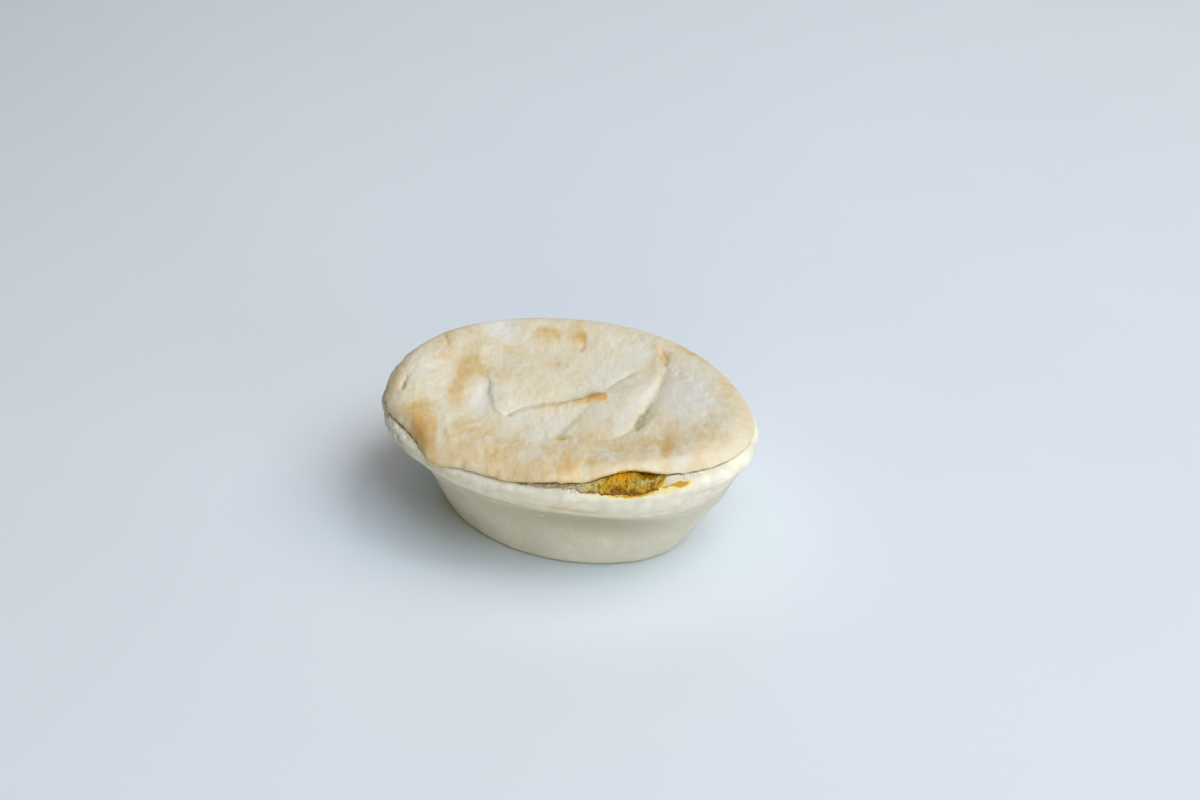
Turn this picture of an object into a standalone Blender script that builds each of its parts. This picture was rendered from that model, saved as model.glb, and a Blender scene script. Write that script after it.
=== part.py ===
"""A small oval chicken pie: a deep pastry case with a flared rim, its filling, and a folded pastry lid.

The lid has come away from the rim along one stretch, where the filling shows and has run over the edge.
Sizes are in millimetres until a point is placed. +X runs along the pie, +Z is up, and the origin is
under the middle of its base. A section is given as (inset, height) points: the inset is measured inwards
from the outline of the rim, and every ring of a piece lies at one inset and one height.
"""

import math

import bmesh
import bpy
import numpy as np

MM = 0.001

# Driving sizes
HALF_LENGTH = 58.5  # rim, along X
HALF_WIDTH = 47.9  # rim, along Y
BASE_INSET = 16.5  # how far the base lies inside the rim
CREASE_INSET = 10.3  # where the pan's wall meets the flared band
CREASE_HEIGHT = 18.8
EDGE_HEIGHT = 32.3  # widest line of the rim
BAND_BEND = 7.0, 24.5  # what the band between them bows towards
WALL_BEND = 12.9  # how far in the pan's wall bows halfway up
BASE_CORNER = 1.6  # radius of the edge round the base
RIM_HEIGHT = 35.6  # top of the rim, on which the lid lies
RIM_WIDTH = 6.0  # from the outline to the inner lip
FLOOR = 4.0  # pastry under the filling
WALL = 4.6  # pastry between the filling and the pan
GAP = 0.4  # between neighbouring pieces
LID_CROWN = 39.7  # height of the lid's raised border
LID_SINK = 1.7  # how far its middle has sunk below the border
CROWN_INSET = 8.5
SUNK_INSET = 27.0
LID_THICKNESS = 3.6

# The opening between the lid and the rim
OPEN_ANGLE = math.radians(-43)
OPEN_HALF = math.radians(21)  # how far the filling has swelled out to either side
LIFTED = math.radians(-21), math.radians(14)  # either side, where the lid stands off the rim
DRAWN_BACK = math.radians(-27), math.radians(50)  # either side, where the lid's edge has drawn back
OPEN_LIFT = 1.5  # how far the lid's lower edge stands up there
OPEN_PULL = 5.4  # and how far it has drawn back
OPEN_ARCH = 0.8  # how far the lid's top rises over it
RIM_DIP_ANGLE = math.radians(-45)
RIM_DIP_HALF = math.radians(17)
RIM_DIP = 1.3  # how far the rim is pressed down below the opening
FULL_ANGLE = math.radians(-45)
FULL_HALVES = math.radians(-75), math.radians(45)
FULLNESS = 2.9  # how far the flared band stands out fuller in front

# Unevenness of a hand-made pie: (waves round the pie, cosine part, sine part)
RIM_WAVES = ((2, 0.3, 0.6), (3, 1.5, -1.1), (4, 0.5, -0.35), (5, 0.2, 0.0))
CREASE_WAVES = ((1, 1.0, 0.5), (2, -0.3, -1.5), (3, 1.0, -0.4))
BASE_WAVES = ((1, -0.13, -0.55), (2, -0.96, -0.1), (3, 0.16, -1.12), (4, 0.0, 0.18), (5, 0.0, -0.32))
CREASE_HEIGHT_WAVES = ((1, 0.4, 0.0), (2, -0.3, -1.1))
RIM_HEIGHT_WAVES = ((1, 0.0, -0.4), (2, 1.25, 0.0))

# Folds of the lid, seen from above: the points of each line, its height (a crease is below zero), how far
# it slopes away to the left and to the right of its direction, and whether each end fades out.
FOLDS = {
    "left_fold": (((-43, 16), (-37, 7), (-33, -2), (-29, -9), (-25, -19)), 0.6, 3.6, 3.8, True, True),
    "flap_edge": (
        ((-29, 1), (-26, -3.5), (-21, -10.5), (-17, -16), (-13, -18.7), (-9.5, -18.5)), 0.9, 10.0, 1.8, True, True
    ),
    "flap_crease": (
        ((-10.5, -18.5), (-8.5, -13.5), (-5.5, -9), (0, -4.6), (4.5, -1.2), (8, 3)), -0.9, 1.8, 1.6, False, True
    ),
    "roll": (((-8, -18), (-4, -12), (1, -8), (5, -4.2), (9, 1)), 1.1, 1.8, 3.0, True, False),
    "roll_shade": (((11, 3.2), (9, -3), (8.2, -12), (9, -21)), -0.7, 2.0, 2.0, True, False),
    "soft_crease": (((8.5, 4), (8, 12), (9, 20), (11, 28)), -0.6, 2.0, 2.2, True, True),
    "broad_fold": (((15, 28), (17.5, 16), (18, 6), (19.5, -4), (18.5, -14)), 0.6, 5.0, 5.5, True, True),
    "deep_crease": (
        ((12, 33), (16, 29.5), (20, 21), (22, 11.5), (24, 4), (26, -3), (27.3, -6.5)), -1.5, 3.4, 1.8, True, True
    ),
    "crease_tail": (((27, -6), (25, -12), (20.5, -18)), -0.6, 2.0, 2.0, False, True),
    "slit": (((-47, -16.5), (-44.7, -22), (-42.2, -27.5)), -0.6, 1.0, 1.0, True, True),
}
# Hollows and swellings: centre, half length and half width, direction in degrees, height
SWELLINGS = {
    "hollow_by_flap": ((-22.0, -13.5), (6.5, 4.0), -52, -1.3),
    "hollow_right": ((31.0, 12.0), (13.0, 7.0), 105, -0.6),
    "left_shoulder": ((-45.0, -7.0), (9.0, 14.0), 0, 0.6),
    "front_shoulder": ((4.0, -33.0), (24.0, 5.0), 0, 0.4),
    "back_hollow": ((-38.0, 22.0), (7.0, 4.0), -40, -0.9),
    "flap_swell": ((-14.0, 4.0), (14.0, 9.0), -35, 0.6),
    "blister": ((8.8, 37.0), (1.6, 1.3), 0, 0.7),
}

LID_SEGMENTS, CASE_SEGMENTS, FILLING_SEGMENTS = 104, 72, 72


def smooth(x):
    """0 below 0, 1 above 1, and an even curve between."""
    x = np.clip(x, 0.0, 1.0)
    return x * x * (3 - 2 * x)


def waves(table, angle):
    return sum(c * np.cos(k * angle) + s * np.sin(k * angle) for k, c, s in table)


def rim_offset():
    """How far the uneven rim's middle lies from the plain oval's, in x and y."""
    angle = np.linspace(0, 2 * math.pi, 721)
    reach = waves(RIM_WAVES, angle)
    x = (HALF_LENGTH + reach) * np.cos(angle)
    y = (HALF_WIDTH + reach) * np.sin(angle)
    return (x.max() + x.min()) / 2, (y.max() + y.min()) / 2


CENTRE = rim_offset()


def place(inset, height, angle):
    """Points of the plain oval section, moved by the pie's unevenness. Arrays in, arrays of x, y, z out."""
    low = np.clip(height / CREASE_HEIGHT, 0, 1)
    band = np.clip((height - CREASE_HEIGHT) / (EDGE_HEIGHT - CREASE_HEIGHT), 0, 1)
    near_crease = np.minimum(low, 1 - band)
    fade = 1 - (inset / HALF_WIDTH) ** 3
    reach = (
        waves(RIM_WAVES, angle) * smooth(low)
        + waves(CREASE_WAVES, angle) * near_crease
        + waves(BASE_WAVES, angle) * (1 - low)
    ) * fade
    lift = (
        waves(CREASE_HEIGHT_WAVES, angle) * near_crease + waves(RIM_HEIGHT_WAVES, angle) * smooth(band)
    ) * fade
    # Rings far inside draw in along X too, so that they end in a point and not in a line.
    narrowing = (HALF_LENGTH - HALF_WIDTH) * (inset / HALF_WIDTH) ** 4
    x = (HALF_LENGTH - inset - narrowing + reach) * np.cos(angle)
    y = (HALF_WIDTH - inset + reach) * np.sin(angle)
    return x, y, height + lift


def window(angle, middle, right, left):
    """1 at the middle angle, falling to 0 at the given turns to its right and left."""
    turn = np.arctan2(np.sin(angle - middle), np.cos(angle - middle))
    return smooth(1 - np.where(turn < 0, turn / right, turn / left))


def opening(angle):
    return window(angle, OPEN_ANGLE, -OPEN_HALF, OPEN_HALF)


def lid_lift(angle):
    return window(angle, OPEN_ANGLE, *LIFTED)


def drawn_back(angle):
    return window(angle, OPEN_ANGLE, *DRAWN_BACK)


def rim_dip(angle):
    return RIM_DIP * window(angle, RIM_DIP_ANGLE, -RIM_DIP_HALF, RIM_DIP_HALF)


def smooth_line(points, samples=10):
    """A curve through the points, as closely spaced points."""
    p = np.array(points, float)
    p = np.vstack([2 * p[0] - p[1], p, 2 * p[-1] - p[-2]])
    out = []
    for i in range(1, len(p) - 2):
        for t in np.linspace(0, 1, samples, endpoint=i == len(p) - 3):
            out.append(
                0.5
                * (
                    2 * p[i]
                    + (p[i + 1] - p[i - 1]) * t
                    + (2 * p[i - 1] - 5 * p[i] + 4 * p[i + 1] - p[i + 2]) * t**2
                    + (3 * p[i] - p[i - 1] - 3 * p[i + 1] + p[i + 2]) * t**3
                )
            )
    return np.array(out)


def fold_height(x, y, points, height, left, right, fade_start, fade_end):
    """A ridge or crease along a line, with a slope of its own on each side."""
    line = smooth_line(points)
    step = np.diff(line, axis=0)
    length = np.hypot(step[:, 0], step[:, 1])
    before = np.concatenate([[0], np.cumsum(length)])
    best = np.full(x.shape, 1e9)
    along = np.zeros(x.shape)
    side = np.zeros(x.shape)
    for i, (dx, dy) in enumerate(step):
        rx, ry = x - line[i, 0], y - line[i, 1]
        share = np.clip((rx * dx + ry * dy) / length[i] ** 2, 0, 1)
        distance = np.hypot(rx - share * dx, ry - share * dy)
        nearer = distance < best
        best = np.where(nearer, distance, best)
        along = np.where(nearer, (before[i] + share * length[i]) / before[-1], along)
        side = np.where(nearer, (dx * ry - dy * rx) / (length[i] * distance + 1e-6), side)
    width = (left + right) / 2 + (left - right) / 2 * side
    shape = 1 / (1 + (best / width) ** 2) ** 2
    ends = np.ones(x.shape)
    if fade_start:
        ends = ends * smooth(along / 0.35)
    if fade_end:
        ends = ends * smooth((1 - along) / 0.35)
    return height * shape * ends


def swelling_height(x, y, centre, halves, degrees, height):
    turn = math.radians(degrees)
    rx, ry = x - centre[0], y - centre[1]
    u = (rx * math.cos(turn) + ry * math.sin(turn)) / halves[0]
    v = (-rx * math.sin(turn) + ry * math.cos(turn)) / halves[1]
    return height * np.exp(-(u * u + v * v))


def lid_relief(x, y):
    """Folds, creases and hollows of the lid's top, in mm above its even form."""
    total = 0.18 * np.sin(x / 4.1 + 1.0) * np.sin(y / 5.3 + 0.4) + 0.12 * np.sin(x / 2.6 - y / 3.1)
    for points, height, left, right, fade_start, fade_end in FOLDS.values():
        total = total + fold_height(x, y, points, height, left, right, fade_start, fade_end)
    for centre, halves, degrees, height in SWELLINGS.values():
        total = total + swelling_height(x, y, centre, halves, degrees, height)
    return total


def straight(start, end, count):
    """count points from start, leaving end to the next stretch."""
    share = np.linspace(0, 1, count, endpoint=False)[:, None]
    return np.array(start) * (1 - share) + np.array(end) * share


def bowed(start, middle, end, count):
    """A curve from start towards end, drawn to the middle point."""
    s = np.linspace(0, 1, count, endpoint=False)[:, None]
    return np.array(start) * (1 - s) ** 2 + np.array(middle) * 2 * s * (1 - s) + np.array(end) * s**2


def case_section():
    """Pastry case, from the middle of its base round the rim and down to the middle of its floor."""
    corner = BASE_CORNER
    centre = HALF_WIDTH
    above_base = BASE_INSET - 0.4 * corner, corner
    below_crease = CREASE_INSET + 0.4, CREASE_HEIGHT - 0.6
    inner = [CREASE_INSET + WALL, CREASE_HEIGHT]
    floor_inset = BASE_INSET + WALL - 0.6
    return np.vstack(
        [
            straight((centre, 0), (BASE_INSET + corner, 0), 2),
            bowed((BASE_INSET + corner, 0), (BASE_INSET, 0), above_base, 3),
            bowed(above_base, (WALL_BEND, 10.4), below_crease, 4),
            [below_crease],
            bowed((CREASE_INSET - 1.2, CREASE_HEIGHT + 0.5), BAND_BEND, (0, EDGE_HEIGHT), 5),
            bowed((0, EDGE_HEIGHT), (0, RIM_HEIGHT), (3.0, RIM_HEIGHT), 4),
            straight((3.0, RIM_HEIGHT), (RIM_WIDTH, RIM_HEIGHT), 1),
            straight((RIM_WIDTH, RIM_HEIGHT), (RIM_WIDTH + 0.6, RIM_HEIGHT - 1.6), 1),
            straight((RIM_WIDTH + 0.6, RIM_HEIGHT - 1.6), inner, 2),
            straight(inner, (floor_inset, FLOOR + 2.5), 2),
            bowed((floor_inset, FLOOR + 2.5), (floor_inset + 0.6, FLOOR), (floor_inset + 3.5, FLOOR), 2),
            straight((floor_inset + 3.5, FLOOR), (centre, FLOOR), 2),
            [(centre, FLOOR)],
        ]
    )


def underside(inset):
    """Height of the lid's underside where the pie is shut."""
    sunk = LID_CROWN - LID_SINK - LID_THICKNESS
    return np.interp(inset, (RIM_WIDTH + 2, SUNK_INSET - 5, HALF_WIDTH), (RIM_HEIGHT + GAP, sunk + 0.5, sunk))


def filling_section():
    """Filling where the pie is shut, from the middle of its underside up to the middle of its top."""
    centre = HALF_WIDTH
    inner = (CREASE_INSET + WALL + GAP + 0.15, CREASE_HEIGHT)
    floor_inset = BASE_INSET + WALL - 0.6 + GAP + 0.15
    top = RIM_HEIGHT - 0.05
    lip = RIM_WIDTH + 1.1
    inside = np.array([lip + 2.0, lip + 3.5, lip + 4.9, 15.5, SUNK_INSET - 5, SUNK_INSET + 7, centre])
    return np.vstack(
        [
            straight((centre, FLOOR + GAP), (floor_inset + 3.5, FLOOR + GAP), 2),
            bowed((floor_inset + 3.5, FLOOR + GAP), (floor_inset + 0.6, FLOOR + GAP), (floor_inset, FLOOR + 2.9), 2),
            straight((floor_inset, FLOOR + 2.9), inner, 2),
            straight(inner, (lip, RIM_HEIGHT - 1.6), 3),
            [(lip - 0.5, RIM_HEIGHT - 0.2), (lip - 0.1, top - 0.05), (lip + 0.5, top)],
            np.column_stack([inside, underside(inside) - GAP - 0.05]),
        ]
    )


TONGUE_START = 10  # the filling's first station on the rim's inner lip


def filling_points(angle, section):
    """The filling's section at each angle: in the opening its upper edge swells out over the rim."""
    inset = np.repeat(section[:, :1], len(angle), axis=1)
    height = np.repeat(section[:, 1:], len(angle), axis=1)
    g = opening(angle)
    rise, reach = smooth(g / 0.35), smooth((g - 0.3) / 0.55)
    lumps = 0.35 * np.sin(9 * angle) + 0.25 * np.sin(23 * angle + 1.0)
    top = RIM_HEIGHT + GAP
    on_rim = top - rim_dip(angle)
    tongue = (
        (RIM_WIDTH + 0.3, on_rim),
        (1.6 - 0.4 * lumps, on_rim),
        (1.7 - 0.4 * lumps, on_rim + 0.5),
        (4.2, on_rim + 1.3 + 0.4 * lumps),
        (7.8, top + 1.2),
    )
    for i, (to_inset, to_height) in enumerate(tongue):
        row = TONGUE_START + i
        height[row] += (to_height - height[row]) * (rise if i < 2 else rise * reach)
        inset[row] += (to_inset - inset[row]) * reach
    # Nothing of it stands above the lid's underside, where the lid is over it.
    below, above = lid_sections()
    lid_inset, lid_height = lid_points(angle, below, above)
    for column in range(len(angle)):
        edge_first = slice(len(below) - 2, None, -1)
        roof = np.interp(
            inset[TONGUE_START:, column], lid_inset[edge_first, column], lid_height[edge_first, column], left=99
        )
        height[TONGUE_START:, column] = np.minimum(height[TONGUE_START:, column], roof - GAP - 0.1)
    return inset, height


def lid_sections():
    """Lid's underside and edge, then its top from the edge to the middle, as two sections."""
    centre = HALF_WIDTH
    under = RIM_HEIGHT + GAP
    inside = np.array([centre, SUNK_INSET + 9, SUNK_INSET, SUNK_INSET - 5, 15, RIM_WIDTH + 2, 5])
    below = np.vstack(
        [
            np.column_stack([inside, underside(inside)]),
            [(1.9, under), (1.1, under + 0.5)],
        ]
    )
    arc = np.linspace(0, math.pi / 2, 6)
    side = np.column_stack(
        [
            CROWN_INSET - (CROWN_INSET - 0.9) * np.cos(arc),
            under + 1.1 + (LID_CROWN - under - 1.1) * np.sin(arc),
        ]
    )
    inset = np.linspace(CROWN_INSET + 1.6, centre, 22)
    share = smooth((inset - CROWN_INSET) / (SUNK_INSET - CROWN_INSET))
    middle = np.column_stack([inset, LID_CROWN - LID_SINK * share])
    return below, np.vstack([side, middle])


def lid_points(angle, below, above):
    """The lid's section at each angle, drawn back and lifted over the opening."""
    section = np.vstack([below, above])
    inset = np.repeat(section[:, :1], len(angle), axis=1)
    height = np.repeat(section[:, 1:], len(angle), axis=1)
    g = lid_lift(angle)
    edge = 1 - smooth((inset - 1.0) / 17.0)
    top = np.zeros(inset.shape)
    top[len(below) :] = 1
    nearly_edge = np.exp(-(((inset - 0.9) / 3.2) ** 2))
    lift_top = OPEN_ARCH * edge + (OPEN_LIFT - OPEN_ARCH) * nearly_edge
    lift_under = OPEN_LIFT * edge
    height = height + g * np.where(top > 0, lift_top, lift_under)
    inset = inset + drawn_back(angle) * OPEN_PULL * edge
    return inset, height


def turned(name, stations, segments, shape, colour, roughness):
    """A piece made by turning a string of points round +Z. shape(angle) gives each station's inset and height."""
    bm = bmesh.new()
    string = [bm.verts.new((0 if i in (0, stations - 1) else 1, 0, i)) for i in range(stations)]
    edges = [bm.edges.new(pair) for pair in zip(string, string[1:])]
    bmesh.ops.spin(
        bm,
        geom=string + edges,
        axis=(0, 0, 1),
        cent=(0, 0, 0),
        angle=2 * math.pi,
        steps=segments,
        use_merge=True,
    )
    bmesh.ops.remove_doubles(bm, verts=bm.verts, dist=1e-4)
    turn = np.array([math.atan2(v.co.y, v.co.x) for v in bm.verts])
    row = np.array([round(v.co.z) for v in bm.verts])
    for v, point in zip(bm.verts, shape(row, turn)):
        v.co = point
    bmesh.ops.recalc_face_normals(bm, faces=bm.faces)
    bmesh.ops.triangulate(bm, faces=bm.faces)
    mesh = bpy.data.meshes.new(name)
    bm.to_mesh(mesh)
    bm.free()
    mesh.shade_smooth()
    mesh.materials.append(material(name, colour, roughness))
    obj = bpy.data.objects.new(name, mesh)
    bpy.data.collections["chicken_pie"].objects.link(obj)
    return obj


def world(x, y, z):
    return np.column_stack([x - CENTRE[0], y - CENTRE[1], z]) * MM


def picked(grid, row, angles, turn):
    """The value of a stations-by-angles grid at each vertex."""
    column = np.round((turn % (2 * math.pi)) / (2 * math.pi) * len(angles)).astype(int) % len(angles)
    return grid[row, column]


def material(name, colour, roughness):
    m = bpy.data.materials.new(name)
    m.use_nodes = True
    shader = m.node_tree.nodes["Principled BSDF"]
    shader.inputs["Base Color"].default_value = (*colour, 1)
    shader.inputs["Roughness"].default_value = roughness
    shader.inputs["Metallic"].default_value = 0
    return m


def make_case():
    section = case_section()
    widest = section[:, 0].argmin()

    def shape(row, turn):
        inset, height = section[row, 0], section[row, 1]
        up_band = np.clip((height - CREASE_HEIGHT) / (EDGE_HEIGHT - CREASE_HEIGHT), 0, 1)
        full = FULLNESS * window(turn, FULL_ANGLE, *FULL_HALVES) * (row <= widest)
        x, y, z = place(inset - full * np.sin(math.pi * up_band**1.1) ** 1.2, height, turn)
        top = smooth((height - EDGE_HEIGHT) / 3) * (inset < RIM_WIDTH + 1)
        return world(x, y, z - rim_dip(turn) * top)

    return turned("crust_case", len(section), CASE_SEGMENTS, shape, (0.74, 0.69, 0.53), 0.75)


def make_filling():
    section = filling_section()
    angles = np.arange(FILLING_SEGMENTS) * 2 * math.pi / FILLING_SEGMENTS
    inset, height = filling_points(angles, section)

    def shape(row, turn):
        return world(*place(picked(inset, row, angles, turn), picked(height, row, angles, turn), turn))

    return turned("filling", len(section), FILLING_SEGMENTS, shape, (0.48, 0.29, 0.04), 0.45)


def make_lid():
    below, above = lid_sections()
    angles = np.arange(LID_SEGMENTS) * 2 * math.pi / LID_SEGMENTS
    inset, height = lid_points(angles, below, above)

    def shape(row, turn):
        s = picked(inset, row, angles, turn)
        x, y, z = place(s, picked(height, row, angles, turn), turn)
        on_top = row > len(below)
        relief = lid_relief(x, y) * smooth((s - 1.5) / 6)
        return world(x, y, z + np.where(on_top, relief, 0))

    return turned("crust_lid", len(below) + len(above), LID_SEGMENTS, shape, (0.76, 0.64, 0.40), 0.7)


def main():
    for obj in list(bpy.data.objects):
        bpy.data.objects.remove(obj)
    collection = bpy.data.collections.new("chicken_pie")
    bpy.context.scene.collection.children.link(collection)
    make_case()
    make_filling()
    make_lid()


main()
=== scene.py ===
"""Looks of a small oval chicken pie: floury pastry case, folded golden lid, and filling that has run out.

Sizes are in millimetres until a point is placed in the frame. The pie's forms are worked out as sections of
(inset, height) points, where the inset is measured inwards from the outline of the rim, at an angle round
the pie. The colours of the baking are kept as values on the mesh, because they follow the folds.
"""

import random
from math import atan2, cos, pi, radians, sin

import bmesh
import bpy
import numpy as np
from mathutils import Matrix, Vector


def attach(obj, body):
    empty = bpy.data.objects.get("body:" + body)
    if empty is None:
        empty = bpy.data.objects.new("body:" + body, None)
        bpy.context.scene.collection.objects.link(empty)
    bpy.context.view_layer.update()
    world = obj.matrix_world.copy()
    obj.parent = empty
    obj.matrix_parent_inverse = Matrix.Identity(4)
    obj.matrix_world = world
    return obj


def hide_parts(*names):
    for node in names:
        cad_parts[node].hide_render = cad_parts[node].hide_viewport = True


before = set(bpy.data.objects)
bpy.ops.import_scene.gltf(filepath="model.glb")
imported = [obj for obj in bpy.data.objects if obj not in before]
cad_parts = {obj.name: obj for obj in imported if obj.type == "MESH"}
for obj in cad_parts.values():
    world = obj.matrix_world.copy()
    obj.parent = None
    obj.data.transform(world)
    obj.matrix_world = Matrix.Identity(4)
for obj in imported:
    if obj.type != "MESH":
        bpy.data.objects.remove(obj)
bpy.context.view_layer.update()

MM = 0.001

# ---- sizes of the pie

HALF_LENGTH = 58.5
HALF_WIDTH = 47.9
RIM_REACH = 52.0  # turns an angle into millimetres round the rim
BASE_INSET = 16.5
BASE_CORNER = 1.6
WALL_BEND = 12.9, 10.4
CREASE_INSET = 10.3  # where the slanting wall meets the flared band
CREASE_HEIGHT = 18.8
BAND_BEND = 7.0, 24.5
EDGE_HEIGHT = 32.3  # widest line of the rim
RIM_HEIGHT = 35.6
RIM_ROUND = 3.0  # inset where the rim's rounding ends
RIM_ROUND_REACH = 6.3  # the same point, up and in from the rim's edge
RIM_WIDTH = 6.0
RIM_CORNER = 0.6, 1.6  # slope at the rim's inner corner, across and down
FLOOR = 4.0
FLOOR_CORNER = 0.6, 2.5  # rounding of the wall's foot inside, across and up
FLOOR_START = 3.5  # from the wall's foot to the flat floor
WALL = 4.6
GAP = 0.4
PLAY = 0.15  # the filling's further distance from the wall
LID_EDGE = 0.9  # inset of the lid's edge
LID_EDGE_ROUND = 1.1  # height of the rounding under it
LID_EDGE_START = 2.4  # inset where that rounding starts
LID_CROWN = 39.7
LID_SINK = 1.7
CROWN_INSET = 8.5
SUNK_INSET = 27.0
LID_THICKNESS = 3.6
LID_REACH = 50.0  # as RIM_REACH, on the lid

OPEN_ANGLE = radians(-43)  # middle of the opening
OPEN_HALF = radians(21)
LIFT_HALF = radians(14)  # its right side, where the lid comes down sooner
PARTING_ANGLE = radians(-68)  # the narrow open seam left of the opening
PARTING_HALF = radians(-16), radians(12)
PARTING = 0.6  # its lift beside that of the opening
SPILL = radians(-84.5), radians(-26.5)  # first and last angle where the filling is out
SET_BACK_ANGLE = radians(-59)  # left of this the filling's front stays further in
SWELL_ANGLE = radians(-44)  # right of this the filling lies lower
BACK_IN_ANGLE = radians(-38.5)  # right of this its front runs back in under the lid
TONGUE_START = 10  # first of the filling's rows that run out along the rim
TONGUE_ROWS = 52
TONGUE_FRONT = 0.2  # share of these rows that lie on the rim; the others are the slope
SHOWN_COLUMNS = 0.6  # share of the filling's columns that lie in the opening
DRAWN_BACK = radians(-27), radians(50)  # how far round to each side the lid's edge is drawn back
OPEN_LIFT = 1.5  # how far it is lifted, drawn back, and arched behind its edge
OPEN_PULL = 5.4
OPEN_ARCH = 0.8
DROOP_ANGLE = radians(-107)  # where the lid's edge hangs over the rim's
DROOP_HALVES = radians(-10), radians(11)
SHORT_ANGLE = radians(-124)  # where the lid's edge stops short of the rim's
SHORT_HALF = radians(14)
RIM_DIP_ANGLE = radians(-45)  # where the rim dips under the opening
RIM_DIP_HALF = radians(17)
RIM_DIP = 1.3
TORN_ANGLE = radians(-150)  # the torn and toasted left end of the pie
FULL_ANGLE = radians(-45)  # where the band bulges most, and how far
FULL = 2.9

# Unevenness round the pie: (waves, cosine part, sine part)
RIM_WAVES = ((2, 0.3, 0.6), (3, 1.5, -1.1), (4, 0.5, -0.35), (5, 0.2, 0))
CREASE_WAVES = ((1, 1, 0.5), (2, -0.3, -1.5), (3, 1, -0.4))
BASE_WAVES = ((1, -0.13, -0.55), (2, -0.96, -0.1), (3, 0.16, -1.12), (4, 0, 0.18), (5, 0, -0.32))
CREASE_HEIGHT_WAVES = ((1, 0.4, 0), (2, -0.3, -1.1))
RIM_HEIGHT_WAVES = ((1, 0, -0.4), (2, 1.25, 0))

ROLLED = radians(31)  # the way that the dough was rolled
ROLLED_LENGTH = 1.9

# Folds of the lid from above: line, height, slope widths left and right of its direction, and whether its
# start and its end fade away
FOLDS = {
    "left_fold": (((-43, 16), (-37, 7), (-33, -2), (-29, -9), (-25, -19)), 0.6, 3.2, 3.6),
    "left_fold_hem": (((-37, 8), (-34, -1), (-31, -6.5), (-27.5, -9.2), (-24, -9.5)), -0.12, 1.2, 1.6),
    "flap_edge": (
        ((-29, 1), (-26, -3.5), (-21, -10.5), (-17, -16), (-13, -18.7), (-9.5, -18.5)), 0.75, 10, 0.8
    ),
    "flap_crease": (
        ((-10.5, -18.5), (-8.5, -13.5), (-5.5, -9), (0, -4.6), (4.5, -0.9), (7.6, 4.2)), -0.55, 1.5, 1, False
    ),
    "roll": (((-8, -18), (-4, -12), (1, -8), (5, -3.9), (8.2, 0), (10, 3.4)), 0.8, 1.5, 3.2, True, False),
    "roll_shade": (((11, 3.2), (9, -3), (8.2, -12), (9, -21)), -0.5, 2.2, 2.4, True, False),
    "soft_crease": (((8.5, 4), (8, 12), (9, 20), (11, 28)), -0.6, 1.8, 2.2),
    "broad_fold": (((15, 28), (17.5, 16), (18, 6), (19.5, -4), (18.5, -14)), 0.6, 5, 5.5),
    "deep_crease": (
        ((12, 33), (16, 29.5), (20, 21), (22, 11.5), (24, 4), (26, -3), (27.3, -6.5)), -1.1, 3, 1.3
    ),
    "crease_wedge": (((21.5, 14), (24.2, 6), (27, -3), (28.2, -6)), -0.5, 3.4, 0.9),
    "crease_tail": (((27, -6), (25, -12), (20.5, -18)), -0.6, 1.8, 2, False),
    "slit": (((-47, -16.5), (-44.7, -22), (-42.2, -27.5)), -0.6, 0.5, 0.6),
    "left_line": (((-52, 9), (-48, 4), (-44.5, -1)), -0.45, 0.8, 0.9),
    "front_pleat": (((-27, -25), (-22, -33), (-15, -41), (-10, -46)), 0.35, 1.6, 1.2),
    "back_pleat": (((-17, 35), (-13.5, 30), (-9.5, 23)), -0.7, 1.4, 1.6),
    "edge_pleat": (((9, 38), (13.5, 34.2), (17, 30)), -0.7, 1, 1.4),
}
FADE = 0.35  # share of a fold's line over which its end fades
# Hollows and swellings: centre, half length and half width, height, direction in degrees
SWELLINGS = {
    "hollow_by_flap": ((-22, -13.5), (6.5, 4), -1.3, -52),
    "pinhole": ((-9.7, -18.6), (1, 0.8), -1.2, 20),
    "leak_hole": ((10.3, -21.8), (1.6, 1.1), -0.7, 30),
    "right_side": ((36, 10), (14, 8), 0.25, 105),
    "pit": ((27.3, -3.8), (4.2, 1.3), -0.35, -68),
    "left_shoulder": ((-45, -7), (9, 14), 0.6),
    "front_shoulder": ((4, -33), (24, 5), 0.4),
    "back_hollow": ((-38, 22), (7, 4), -0.9, -40),
    "flap_swell": ((-14, 4), (14, 9), 0.6, -35),
    "roll_end": ((9, 1.6), (2, 3.4), 0.45, 31),
    "blister": ((8.8, 37), (1.3, 1), 0.7),
}

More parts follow.
